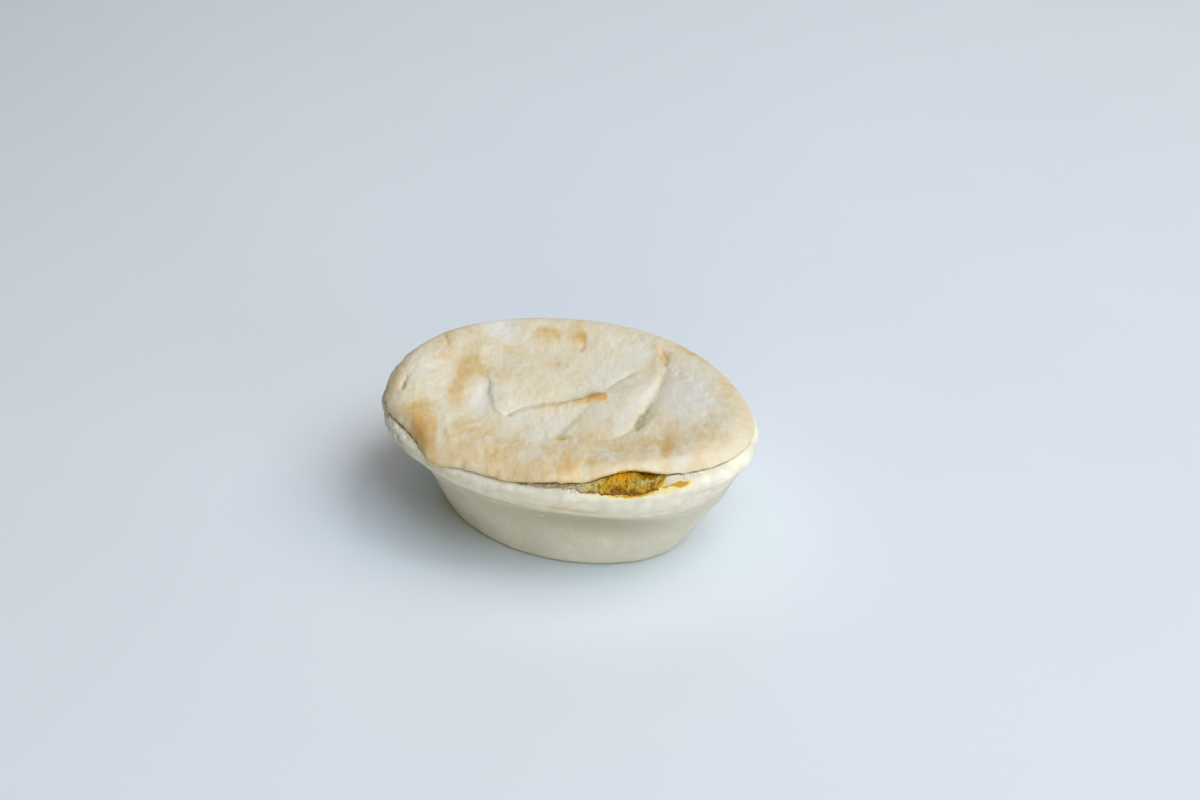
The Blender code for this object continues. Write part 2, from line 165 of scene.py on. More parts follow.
# How the lid has baked: patches as centre, half sizes, strength, direction in degrees
GOLDEN = (
    ((-38, 4), (9, 3.5), 0.3, -68),
    ((-31, -10), (11, 3.6), 1.15, -66),
    ((-27, -20), (5, 3), 0.5, -70),
    ((-49, 6), (8, 2.6), 0.5, -52),
    ((-44, 14), (8, 3.5), 0.35, -25),
    ((-30, 24), (5, 4), 0.35, 60),
    ((-25, 28), (6, 4), 0.8, 25),
    ((-15.5, 32), (6, 3.5), 0.75, -50),
    ((-19, 38), (7, 2.5), 0.15, 25),
    ((-13, 13), (8, 4), 0.4, -20),
    ((12.5, 34.5), (4.5, 2.4), 1.65, -35),
    ((42, 18), (12, 3.5), 0.35, -50),
    ((45, 2), (6, 2), 0.3, -60),
    ((36, -3), (7, 4), 0.3, -30),
    ((36, -12), (9, 4), 0.45, -10),
    ((49, -5), (9, 4), 0.4, -75),
    ((27, -20), (9, 5), 0.3),
    ((30, 2), (3, 5), 0.45, -20),
    ((20, -32), (10, 8), 0.65, 5),
    ((12, -44), (8, 3), 0.2),
    ((0, -36), (14, 9), 0.65),
    ((-30, -33), (9, 5.5), 0.95, -58),
    ((-23, -41), (8, 4), 1.25, -40),
    ((-17, -32), (6, 6), 0.6, -35),
    ((-50, -19), (11, 3), 0.6, -58),
    ((-56, -6), (6, 2), 0.2, -80),
    ((-2, -8), (9, 3), 0.4, 40),
    ((7.4, 0), (5, 3), 1.2, 40),
    ((-12, -26), (10, 3), 0.2, 5),
    ((11, -13), (4, 6), 0.25),
    ((-32, -3), (9, 6), 0.35, -70),
    ((-44, -3), (8, 5), 0.45, -70),
    ((-11, 20), (7, 4), 0.3, -70),
    ((-22, 22), (8, 5), 0.25),
    ((11, 28), (7, 4), 0.8, -80),
    ((40, -7), (10, 6), 0.45, -60),
    ((47, -17), (6, 5), 0.85, -60),
    ((31, -17), (9, 5), 0.55),
    ((18, -18), (7, 5), 0.5, 80),
    ((17, -39), (8, 5), 0.2, 10),
    ((2, -9), (5, 5), 0.15),
    ((-24, -4), (6, 4), 0.6, -50),
    ((44, 8), (9, 4), 0.3, -75),
    ((-30, 12), (6, 5), 0.6),
    ((-12, 2), (10, 7), 0.3),
    ((27, 37), (8, 2), 0.45, -32),
    # This patch is partly painted shade, dimming a bright sheen on the lid's back edge
    ((18, 42), (6, 2.2), 0.55, -18),
    ((39, 29), (9, 2), 0.35, -45),
)
BROWN = (
    ((-36, 3), (3.6, 1.2), 0.45, -66),
    ((-31.5, -7), (3.4, 1.2), 0.5, -50),
    ((-30, 25), (2.6, 1.6), 0.35, 60),
    ((-24.5, 28.5), (3, 2), 0.45, -30),
    ((-15, 32), (3.4, 1.8), 0.8, -58),
    ((-11, 25.5), (4, 1.6), 0.5, -62),
    ((13.4, 33.4), (3.2, 1.8), 0.5, -40),
    ((16.6, 30.2), (2.4, 0.8), 0.6, -60),
    ((8.3, 1.9), (2.6, 4.6), 1, 31),
    ((11.1, 3), (0.7, 3.4), 0.75, 31),
    ((-29, -36), (5, 2), 0.45, -62),
    ((-23, -42), (5, 1.6), 0.4, -42),
    ((-26, -38.5), (5, 2.6), 0.4, -50),
    ((-43, -28), (6, 2), 0.45, -60),
    ((44, 1.5), (2.6, 0.9), 0.35, -65),
    ((35, -10), (2.4, 1.4), 0.3),
    ((-9, -18.4), (1.2, 0.8), 0.6),
    ((-48, 4), (5, 0.6), 0.35, -52),
)
# Olive: filling soaked into the creases and the slit, and partly painted shade at the bottom of the deep
# crease, the slit and the thin fold lines
OLIVE = (
    ((-44.7, -22), (4.6, 0.5), 1.6, -66),
    ((27.4, -4.4), (4.6, 1.3), 1.45, -70),
    ((28.2, -0.5), (6, 2.4), 0.45, -68),
    ((24.8, 3.6), (5, 0.8), 0.8, -68),
    ((23.8, 10), (5, 2.2), 0.3, -70),
    ((19.5, 23), (6, 0.8), 0.5, -65),
    ((10.4, -21.2), (3.2, 2), 0.9, 40),
    ((9, -14), (3.2, 0.7), 0.6, 92),
    ((-20.5, -11), (8.5, 0.7), 0.6, -54),
    ((-13, -18.6), (3, 0.7), 0.6, -15),
    ((-6.8, -11), (8, 0.5), 0.5, 52),
    ((1.5, -3.4), (6, 0.5), 0.4, 40),
    ((8.2, 11), (8, 0.8), 0.3, 85),
)
PALE = (
    ((-39, 22), (7, 5), 1, -25),
    ((-21.5, -14.5), (6.5, 4.2), 1, -50),
    ((-9, -14), (5, 2.5), 0.5, -60),
    ((30, 18), (14, 5.5), 0.8, 105),
    ((21, 3), (12, 2.4), 0.8, 98),
    ((-20.5, -36), (11, 2), 0.5, -55),
    ((6, 27), (12, 6), 0.6, 80),
    ((2, 10), (8, 3), 0.4, 85),
    ((-45, -12), (7, 3), 0.5, -65),
    ((4, -17), (5, 4), 0.6, 70),
    ((48, -18), (7, 3), 0.7, -75),
    ((-33, 15), (3, 8), 0.3),
    # This patch is painted light: it lightens the lid's right side, which its sunk shape turns away from the
    # lamps
    ((39, 11), (9, 5), 0.7, 105),
    ((9, -37), (6, 4), 0.4, 10),
)
GRAVY_ON_LID = (((10.2, -21.4), (2.2, 2.4), 0.5, 30),)
# On the lid's edge: the same, with the angle in degrees and the height up the edge as the place
GRAVY_ON_EDGE = (
    ((-45, 0.7), (3, 0.6), 1),
    ((-37.5, 0.6), (2.2, 0.5), 0.85),
    ((-41, 0.5), (8, 0.5), 0.5),
)
# On the rim: the same, with the angle in degrees and the distance up and in from the rim's edge as the place
GRAVY_ON_RIM = (
    ((-47, 6.6), (8, 1.9), 1.6),
    ((-39, 6.2), (5, 2), 1.2),
    ((-28.2, 4), (2, 1.2), 1.6),
    ((-31.6, 4.4), (2.2, 0.45), 0.85),
    ((-44.5, 3.3), (7, 0.6), 0.28),
    ((-44, 2.6), (10, 1.5), 0.6),
    ((-29, 3.4), (5, 1.6), 0.3),
)
GRUBBY_ON_RIM = (
    ((-78, 7), (7, 1.6), 1),
    ((-70, 7), (6, 1.8), 0.9),
    ((-60, 6.2), (6, 2), 0.9),
    ((-100, 6.6), (3, 1.2), 0.9),
    ((-26.2, 8.6), (0.6, 0.7), 1.3),
    ((-25.7, 6.4), (0.6, 0.5), 1.2),
    ((-20, 8), (8, 1.2), 0.35),
    ((-130, 8), (14, 1.6), 0.9),
    ((-140, 5), (30, 3), 0.35),
)
TOASTED_ON_BAND = (
    ((-68, 27), (34, 4), 0.45),
    ((-94, 23.5), (12, 2.4), 0.5),
    ((-82, 23), (6, 2), 0.3),
    ((-67, 28), (4, 1.3), 0.7),
    ((-61, 27.3), (2.2, 1), 0.6),
    ((-76, 28.5), (3, 1), 0.4),
    ((-110, 22.5), (9, 2.4), 0.4),
    ((60, 21.5), (40, 1.6), 0.4),
    ((150, 21.5), (30, 1.6), 0.4),
)

# What shows in the opening, by degrees round the pie and share of the way up the slope of filling
GREY_SHREDS = (
    ((-60, 0.5), (5, 0.6), 1.1),
    ((-56, 0.8), (3.5, 0.5), 0.9),
    ((-43, 0.42), (1.6, 0.16), 0.7),
    ((-38.5, 0.5), (3.2, 0.22), 1.1),
    ((-34.5, 0.55), (2.5, 0.18), 0.9),
    ((-31, 0.8), (2, 0.4), 0.7),
)
ORANGE_GRAVY = (
    ((-45.5, 0.9), (4, 0.3), 1.3),
    ((-49, 0.5), (3, 0.3), 0.6),
    ((-36, 0.95), (2.5, 0.2), 0.9),
    ((-34.5, 0.15), (3, 0.25), 1.1),
)
BURNT_GRAVY = (
    ((-48.5, 0.12), (2.2, 0.16), 1.4),
    ((-53, 0.04), (2.5, 0.07), 1.2),
    ((-56, 0.04), (1, 0.08), 1.2),
    ((-43, 0.12), (3, 0.1), 1),
    ((-38.5, 0.05), (3, 0.06), 1.1),
    ((-35, 0.3), (3, 0.2), 0.45),
    ((-47, 0.02), (9, 0.06), 0.9),
    ((-60.5, 0.03), (2.5, 0.06), 0.9),
    ((-68, 0.5), (5, 0.6), 0.72),
    ((-82.5, 0.5), (1.2, 0.6), 1.2),
    ((-78.5, 0.5), (1.8, 0.5), 1.2),
    ((-74, 0.5), (2, 0.35), 0.6),
)

# Crumbs on the rim: first and last degree, distance up and in from its edge and its spread, number, size
PALE_CRUMBS = (
    (-175, -104, 6, 0.9, 60, 0.5),
    (-104, -84, 6.2, 0.5, 30, 0.4),
    (-76, -60, 5.8, 0.5, 40, 0.5),
    (-66.5, -60.5, 4.4, 0.8, 80, 0.5),
    (-57, -55, 3.4, 0.4, 8, 0.4),
    (-34, -31, 5.6, 0.4, 10, 0.45),
    (-24, -8, 6.8, 0.5, 26, 0.4),
    (0, 180, 6.4, 0.6, 60, 0.4),
)
BROWN_CRUMBS = (
    (-102.5, -97.5, 6.4, 0.5, 34, 0.45),
    (-97, -84, 6.3, 0.4, 7, 0.4),
    (-82, -58, 6.4, 0.5, 44, 0.4),
    (-57, -36, 3.9, 0.35, 70, 0.3),
    (-150, -104, 7, 0.4, 60, 0.35),
)
WALL_CRUMBS = 26  # a few pale ones on the wall in front

# ---- camera and light

CAMERA_TURN = radians(31.4)
CAMERA_HEIGHT = radians(31.87)
CAMERA_ROLL = radians(-0.83)
CAMERA_DISTANCE = 549
CAMERA_AIM = -13.5, 36.3, 12
LENS = 50

LAMP_DISTANCE = 2.2
# Turn anticlockwise from the camera's right, and height, in degrees; size in metres, power in watts, colour
LAMPS = {
    "front_lamp": (270, 12, 0.9, 12.4, (1, 0.84, 0.52)),
    "low_right_lamp": (315, 12, 0.9, 9.3, (0.8, 0.8, 1)),
    "high_right_lamp": (315, 55, 1.54, 29, (0.66, 0.84, 1)),
    "side_lamp": (0, 55, 1.54, 21.8, (1, 0.89, 0.82)),
    "back_lamp": (90, 25, 1.54, 6.2, (0.75, 0.92, 1)),
    "top_lamp": (0, 90, 1.54, 9, (1, 0.82, 0.78)),
}


def smooth(x):
    """0 below 0, 1 above 1, and an even curve between."""
    x = np.clip(x, 0.0, 1.0)
    return x * x * (3 - 2 * x)


def bell(x, middle, width):
    """1 at the middle, falling away to both sides."""
    return np.exp(-(((x - middle) / width) ** 2))


def waves(table, angle):
    return sum(c * np.cos(k * angle) + s * np.sin(k * angle) for k, c, s in table)


def rim_middle():
    """Middle of the rim's box, which the frame has at its origin."""
    angle = np.linspace(0, 2 * pi, 721)
    reach = waves(RIM_WAVES, angle)
    x = (HALF_LENGTH + reach) * np.cos(angle)
    y = (HALF_WIDTH + reach) * np.sin(angle)
    return (x.max() + x.min()) / 2, (y.max() + y.min()) / 2


CENTRE = rim_middle()


def place(inset, height, angle):
    """Points of the plain oval section, moved by the pie's unevenness."""
    low = np.clip(height / CREASE_HEIGHT, 0, 1)
    band = np.clip((height - CREASE_HEIGHT) / (EDGE_HEIGHT - CREASE_HEIGHT), 0, 1)
    near_crease = np.minimum(low, 1 - band)
    fade = 1 - (inset / HALF_WIDTH) ** 3
    reach = (
        waves(RIM_WAVES, angle) * smooth(low)
        + waves(CREASE_WAVES, angle) * near_crease
        + waves(BASE_WAVES, angle) * (1 - low)
    ) * fade
    lift = (
        waves(CREASE_HEIGHT_WAVES, angle) * near_crease + waves(RIM_HEIGHT_WAVES, angle) * smooth(band)
    ) * fade
    narrowing = (HALF_LENGTH - HALF_WIDTH) * (inset / HALF_WIDTH) ** 4
    x = (HALF_LENGTH - inset - narrowing + reach) * np.cos(angle)
    y = (HALF_WIDTH - inset + reach) * np.sin(angle)
    return x, y, height + lift


def window(angle, middle, right, left):
    """1 at the middle angle, falling to 0 at the given turns to its right and left."""
    turn = np.arctan2(np.sin(angle - middle), np.cos(angle - middle))
    return smooth(1 - np.where(turn < 0, turn / right, turn / left))


def parting(angle):
    return window(angle, PARTING_ANGLE, *PARTING_HALF)


def lid_lift(angle):
    return np.maximum(window(angle, OPEN_ANGLE, -OPEN_HALF, LIFT_HALF), PARTING * parting(angle))


def drawn_back(angle):
    return window(angle, OPEN_ANGLE, *DRAWN_BACK)


def rim_dip(angle):
    return RIM_DIP * window(angle, RIM_DIP_ANGLE, -RIM_DIP_HALF, RIM_DIP_HALF)


def lumps(u, v, size, seed):
    """Smooth random heights from -1 to 1 over a surface, with bumps of about the given size."""
    table = np.random.default_rng(seed).uniform(-1, 1, (256, 256))
    u, v = np.asarray(u) / size + 500.0, np.asarray(v) / size + 500.0
    i, j = np.floor(u).astype(int), np.floor(v).astype(int)
    a, b = smooth(u - i), smooth(v - j)
    i, j, k, l = i % 256, j % 256, (i + 1) % 256, (j + 1) % 256
    return (table[i, j] * (1 - a) + table[k, j] * a) * (1 - b) + (table[i, l] * (1 - a) + table[k, l] * a) * b


def layered(u, v, size, seed, layers=3):
    """Lumps of halving size laid over each other."""
    return sum(lumps(u, v, size / 2**n, seed + n) * 0.6**n for n in range(layers))


def smooth_line(points, samples=10):
    """A curve through the points, as closely spaced points."""
    p = np.array(points, float)
    p = np.vstack([2 * p[0] - p[1], p, 2 * p[-1] - p[-2]])
    line = []
    for i in range(len(p) - 3):
        a, b, c, d = p[i : i + 4]
        slope, bend, twist = c - a, 2 * a - 5 * b + 4 * c - d, 3 * b - a - 3 * c + d
        for t in np.linspace(0, 1, samples, endpoint=i == len(p) - 4):
            line.append(0.5 * (2 * b + slope * t + bend * t**2 + twist * t**3))
    return np.array(line)


def fold_height(x, y, points, height, left, right, fade_start=True, fade_end=True):
    """A ridge or crease along a line, with a slope of its own on each side."""
    line = smooth_line(points)
    step = np.diff(line, axis=0)
    length = np.hypot(step[:, 0], step[:, 1])
    before = np.concatenate([[0], np.cumsum(length)])
    nearness = -4
    total, along, side = (np.zeros(x.shape) for _ in range(3))
    for i, (dx, dy) in enumerate(step):
        rx, ry = x - line[i, 0], y - line[i, 1]
        share = np.clip((rx * dx + ry * dy) / length[i] ** 2, 0, 1)
        distance = np.hypot(rx - share * dx, ry - share * dy)
        # Near stretches of the line count most, and all count a little, so that bends leave no kink
        weight = (distance**2 + 0.01) ** nearness
        total += weight
        along += weight * (before[i] + share * length[i]) / before[-1]
        side += weight * (dx * ry - dy * rx) / (length[i] * distance + 1e-6)
    along, side = along / total, side / total
    width = (left + right) / 2 + (left - right) / 2 * side
    distance = total ** (0.5 / nearness)
    shape = 1 / (1 + (1.2 * distance / width) ** 2) ** 1.6
    ends = np.ones(x.shape)
    if fade_start:
        ends = ends * smooth(along / FADE)
    if fade_end:
        ends = ends * smooth((1 - along) / FADE)
    return height * shape * ends


def patch(x, y, centre, halves, strength, degrees=0):
    """A soft oval spot, with the given strength at its centre."""
    turn = radians(degrees)
    rx, ry = x - centre[0], y - centre[1]
    u = (rx * cos(turn) + ry * sin(turn)) / halves[0]
    v = (-rx * sin(turn) + ry * cos(turn)) / halves[1]
    return strength * np.exp(-(u * u + v * v))


def patches(x, y, table):
    return sum(patch(x, y, *row) for row in table)


def rolled_out(x, y):
    """Places on the lid, drawn together the way that it was rolled, so that patterns come out long."""
    across, along = cos(ROLLED), sin(ROLLED)
    return x * across + y * along, (y * across - x * along) / ROLLED_LENGTH


def lid_relief(x, y):
    """Folds, creases, hollows and the small unevenness of the rolled dough."""
    wx = x + 0.7 * lumps(x, y, 5.0, 11)
    wy = y + 0.7 * lumps(x, y, 5.0, 12)
    u, v = rolled_out(x, y)
    total = 0.28 * lumps(u, v, 9.0, 21) + 0.15 * lumps(u, v, 3.4, 22) + 0.07 * layered(u, v, 1.4, 23, 2)
    for row in FOLDS.values():
        total = total + fold_height(wx, wy, *row)
    for row in SWELLINGS.values():
        total = total + patch(wx, wy, *row)
    return total


def straight(start, end, count):
    """Points in a row from start, leaving end to the next stretch."""
    share = np.linspace(0, 1, count, endpoint=False)[:, None]
    return np.array(start) * (1 - share) + np.array(end) * share


def bowed(start, middle, end, count):
    """The same on a curve that leans towards the middle point."""
    s = np.linspace(0, 1, count, endpoint=False)[:, None]
    return np.array(start) * (1 - s) ** 2 + np.array(middle) * 2 * s * (1 - s) + np.array(end) * s**2


def case_section():
    """From the middle of the underside round the wall, the band and the rim, and down the inside."""
    base = (BASE_INSET + BASE_CORNER, 0)
    wall_start = (BASE_INSET - 0.4 * BASE_CORNER, BASE_CORNER)
    below_crease = (CREASE_INSET + 0.4, CREASE_HEIGHT - 0.7)
    above_crease = (CREASE_INSET - 1.0, CREASE_HEIGHT + 0.4)
    edge = (0, EDGE_HEIGHT)
    rim_start, rim_end = (RIM_ROUND, RIM_HEIGHT), (RIM_WIDTH, RIM_HEIGHT)
    corner = (RIM_WIDTH + RIM_CORNER[0], RIM_HEIGHT - RIM_CORNER[1])
    inner = (CREASE_INSET + WALL, CREASE_HEIGHT)
    foot = BASE_INSET + WALL - FLOOR_CORNER[0]
    foot_start, floor_start = (foot, FLOOR + FLOOR_CORNER[1]), (foot + FLOOR_START, FLOOR)
    return np.vstack(
        [
            straight((HALF_WIDTH, 0), base, 12),
            bowed(base, (BASE_INSET, 0), wall_start, 8),
            bowed(wall_start, WALL_BEND, below_crease, 34),
            bowed(below_crease, (CREASE_INSET + 0.1, CREASE_HEIGHT), above_crease, 6),
            bowed(above_crease, BAND_BEND, edge, 30),
            bowed(edge, (0, RIM_HEIGHT), rim_start, 14),
            straight(rim_start, rim_end, 7),
            straight(rim_end, corner, 3),
            straight(corner, inner, 6),
            straight(inner, foot_start, 4),
            bowed(foot_start, (foot + FLOOR_CORNER[0], FLOOR), floor_start, 3),
            straight(floor_start, (HALF_WIDTH, FLOOR), 4),
            [(HALF_WIDTH, FLOOR)],
        ]
    )


def underside(inset):
    """Height of the lid's lower side."""
    sunk = LID_CROWN - LID_SINK - LID_THICKNESS
    return np.interp(inset, (RIM_WIDTH + 2, SUNK_INSET - 5, HALF_WIDTH), (RIM_HEIGHT + GAP, sunk + 0.5, sunk))


def lid_sections():
    """The lid's lower side from its middle to its edge, and its upper side from its edge to its middle."""
    under = RIM_HEIGHT + GAP
    edge = (LID_EDGE, under + LID_EDGE_ROUND)
    outer = [18, 15, 11.5, RIM_WIDTH + 2, 6.5, 5, 3.5]
    inset = np.array([HALF_WIDTH, SUNK_INSET + 9, SUNK_INSET, SUNK_INSET - 5] + outer)
    rounding = bowed((LID_EDGE_START, under), (LID_EDGE, under), edge, 5)
    below = np.vstack([np.column_stack([inset, underside(inset)]), rounding])
    arc = np.linspace(0, pi / 2, 26)
    side = np.column_stack(
        [
            CROWN_INSET - (CROWN_INSET - LID_EDGE) * np.cos(arc),
            edge[1] + (LID_CROWN - under - LID_EDGE_ROUND) * np.sin(arc),
        ]
    )
    inset = np.linspace(CROWN_INSET + 0.4, HALF_WIDTH, 118)
    share = smooth((inset - CROWN_INSET) / (SUNK_INSET - CROWN_INSET))
    return below, np.vstack([side, np.column_stack([inset, LID_CROWN - LID_SINK * share])])


def lid_points(angle, below, above):
    """Inset and height of every station at every angle, drawn back and lifted over the opening."""
    section = np.vstack([below, above])
    inset, height = (np.repeat(section[:, k : k + 1], len(angle), axis=1) for k in (0, 1))
    top = np.arange(len(section))[:, None] >= len(below)
    along = angle[None, :] * RIM_REACH
    lift = lid_lift(angle)
    edge = 1 - smooth((inset - 1.0) / 17.0)
    lift_top = OPEN_ARCH * edge + (OPEN_LIFT - OPEN_ARCH) * bell(inset, LID_EDGE, 3.2)
    height = height + lift * np.where(top, lift_top, OPEN_LIFT * edge)
    # The edge is pressed down on the rim, more so its upper side, and comes out a little
    up_edge = np.clip((section[:, 1:] - RIM_HEIGHT - GAP) / LID_EDGE_ROUND, 0, 1)
    pressed = (1 - np.clip(2.5 * lift, 0, 1)) * bell(inset, LID_EDGE, 2.4)
    droop = window(angle, DROOP_ANGLE, *DROOP_HALVES) * bell(inset, LID_EDGE, 3.5)
    short = window(angle, SHORT_ANGLE, -SHORT_HALF, SHORT_HALF) * bell(inset, LID_EDGE, 4.0)
    height = height - pressed * (0.32 + 0.43 * up_edge) - 0.9 * droop
    ragged = bell(inset, LID_EDGE, 2.2)
    inset = inset + drawn_back(angle) * OPEN_PULL * edge + 0.35 * pressed - 1.5 * droop + 1.9 * short
    inset = inset - ragged * (0.30 * lumps(along, height, 5.0, 31) + 0.22 * lumps(along, height, 1.7, 32))
    height = height + ragged * ~top * 0.25 * lumps(along, inset, 2.6, 33)
    return inset, height


def rim_top(inset):
    """Height of the rim's rounded upper side."""
    share = np.sqrt(np.clip(inset / RIM_ROUND, 0, 1))
    return EDGE_HEIGHT + (RIM_HEIGHT - EDGE_HEIGHT) * (2 * share - share * share)


def filling_section():
    """From the middle of the filling's underside up its wall, over the rim, and back under the lid."""
    inner = (CREASE_INSET + WALL + GAP + PLAY, CREASE_HEIGHT)
    floor = FLOOR + GAP
    foot = BASE_INSET + WALL - FLOOR_CORNER[0] + GAP + PLAY
    foot_start, floor_start = (foot, floor + FLOOR_CORNER[1]), (foot + FLOOR_START, floor)
    lip = RIM_WIDTH + 1.1
    hidden = lip + 0.5 + 4.4 * np.linspace(0, 1, TONGUE_ROWS)
    inset = np.concatenate([hidden, [13.5, 15.5, 18, SUNK_INSET - 5, SUNK_INSET + 7, HALF_WIDTH]])
    return np.vstack(
        [
            straight((HALF_WIDTH, floor), floor_start, 2),
            bowed(floor_start, (foot + FLOOR_CORNER[0], floor), foot_start, 2),
            straight(foot_start, inner, 2),
            straight(inner, (lip, RIM_HEIGHT - RIM_CORNER[1]), 3),
            [(lip - 0.5, RIM_HEIGHT - 0.2)],
            np.column_stack([inset, np.minimum(RIM_HEIGHT - 0.05, underside(inset) - GAP - 0.05)]),
        ]
    )


def filling_points(angle, section):
    """In the opening the filling's upper edge swells out over the rim, lumpy with what is in it."""
    inset, height = (np.repeat(section[:, k : k + 1], len(angle), axis=1) for k in (0, 1))
    first, last = SPILL
    reach = smooth((angle - first) / 0.10) * smooth((last - angle) / 0.08)
    rise = smooth((angle - first + 0.07) / 0.1) * smooth((last - angle + 0.05) / 0.1)
    swell = 1 - smooth((angle - SWELL_ANGLE) / 0.15)
    below, above = lid_sections()
    lid_inset, lid_height = lid_points(angle, below, above)
    edge_inset = lid_inset[len(below) - 2] + 0.8
    edge_height = lid_height[len(below) - 4] - 0.2
    along = angle * RIM_REACH
    outer = 0.75 + 0.7 * smooth((SET_BACK_ANGLE - angle) / 0.09) + 0.3 * layered(along, 0 * along, 2.2, 41)
    back_in = smooth((angle - BACK_IN_ANGLE) / 0.19)
    outer = outer + back_in * np.clip(edge_inset - 0.5 - outer, 0, 5.4)
    start = RIM_WIDTH + 0.4
    for n in range(TONGUE_ROWS):
        share = n / (TONGUE_ROWS - 1)
        row = TONGUE_START + n
        out = min(1.0, share / TONGUE_FRONT)
        back = max(0.0, (share - TONGUE_FRONT) / (1 - TONGUE_FRONT))
        # Out along the rim, round the front of the tongue, and up its slope to the underside of the lid
        to_inset = start + (outer - start) * out + back * (edge_inset + 1.5 - outer)
        at_inset = inset[row] * (1 - reach) + to_inset * reach
        on_rim = rim_top(at_inset) - rim_dip(angle) + 0.1
        slope = np.clip((to_inset - outer) / (edge_inset - outer), 0, 1.2) ** 1.4
        to_height = on_rim + 0.35 * smooth(back * 12) + np.maximum(edge_height - on_rim, 0) * slope * swell
        grain = smooth(6 * back) * reach
        bumpy = 0.36 * lumps(along, 9.0 * share, 1.9, 43) + 0.32 * layered(along, 9.0 * share, 0.8, 44, 2)
        height[row] += (to_height + grain * bumpy - height[row]) * rise
        inset[row] = at_inset - 0.5 * grain * bumpy
    from_edge = slice(len(below) - 2, None, -1)
    for column in range(len(angle)):
        under = lid_inset[from_edge, column], lid_height[from_edge, column]
        roof = np.interp(inset[TONGUE_START:, column], *under, left=99)
        height[TONGUE_START:, column] = np.minimum(height[TONGUE_START:, column], roof - 0.25)
    return inset, height


# ---- meshes


def new_object(name, data):
    obj = bpy.data.objects.new(name, data)
    bpy.context.scene.collection.objects.link(obj)
    return obj


def piece_from(bm, name):
    """The finished bmesh as an object of the scene."""
    mesh = bpy.data.meshes.new(name)
    bm.to_mesh(mesh)
    bm.free()
    return new_object(name, mesh)


def turned(name, stations, segments):
    """A closed piece rolled up from a grid, and each vertex's station and angle; its two ends are points."""
    bm = bmesh.new()
    bmesh.ops.create_grid(bm, x_segments=segments, y_segments=stations - 1, size=1.0)
    for v in bm.verts:
        turn = pi * (v.co.x + 1)
        row = round((v.co.y + 1) / 2 * (stations - 1))
        radius = 0 if row in (0, stations - 1) else 1
        v.co = radius * cos(turn), radius * sin(turn), row
    bmesh.ops.remove_doubles(bm, verts=bm.verts, dist=1e-4)
    turn = np.array([atan2(v.co.y, v.co.x) for v in bm.verts])
    row = np.array([round(v.co.z) for v in bm.verts])
    bmesh.ops.recalc_face_normals(bm, faces=bm.faces)
    return piece_from(bm, name), row, turn


def shape_mesh(obj, x, y, z):
    """Puts the vertices in place, in the frame, and leaves the faces pointing out."""
    mesh = obj.data
    points = np.column_stack([x - CENTRE[0], y - CENTRE[1], z]) * MM
    mesh.vertices.foreach_set("co", points.astype(np.float32).ravel())
    mesh.update()
    bm = bmesh.new()
    bm.from_mesh(mesh)
    bmesh.ops.recalc_face_normals(bm, faces=bm.faces)
    bm.to_mesh(mesh)
    bm.free()
    mesh.shade_smooth()


def set_values(obj, **named):
    """Values from 0 to 1 at each vertex, which the piece's material reads."""
    for name, values in named.items():
        layer = obj.data.attributes.new(name, "FLOAT", "POINT")
        layer.data.foreach_set("value", np.clip(values, 0, 1).astype(np.float32))


def picked(grid, row, segments, turn):
    """For each vertex the number at its station and angle."""
    column = np.round((turn % (2 * pi)) / (2 * pi) * segments).astype(int) % segments
    return grid[row, column]


def all_round(segments):
    return np.arange(segments) * 2 * pi / segments


def crowded(turn):
    """Turns with most of the columns drawn together where the filling shows; the others are spread out."""
    first, last = SPILL[0] - 0.05, SPILL[1] + 0.05
    share = (turn % (2 * pi)) / (2 * pi)
    return np.interp(share, (0, SHOWN_COLUMNS, 1), (first, last, first + 2 * pi))


def finish_piece(obj, node, material):
    obj.data.materials.append(material)
    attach(obj, "root")
    if node:
        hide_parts(node)


# ---- materials


def srgb(red, green, blue):
    """A colour as seen, 0 to 255, as the linear values that Blender uses."""
    linear = (((c / 255 + 0.055) / 1.055) ** 2.4 if c > 10 else c / 255 / 12.92 for c in (red, green, blue))
    return (*linear, 1.0)


class Socket:
    """A shader value in an expression: +, - and * add Math nodes, also with a number in front."""

    def __init__(self, surface, socket):
        self.surface, self.socket = surface, socket

    def maths(self, operation, first, second):
        return self.surface.add("ShaderNodeMath", {"operation": operation}, {0: first, 1: second})

    def __add__(self, other):
        return self.maths("ADD", self, other)

    def __radd__(self, other):
        return self.maths("ADD", other, self)

    def __sub__(self, other):
        return self.maths("SUBTRACT", self, other)

    def __rsub__(self, other):
        return self.maths("SUBTRACT", other, self)

    def __mul__(self, other):
        return self.maths("MULTIPLY", self, other)

    def __rmul__(self, other):
        return self.maths("MULTIPLY", other, self)


SOCKETS = {
    "base_color": "Base Color",
    "roughness": "Roughness",
    "normal": "Normal",
    "specular": "Specular IOR Level",
    "subsurface": "Subsurface Weight",
    "subsurface_scale": "Subsurface Scale",
}


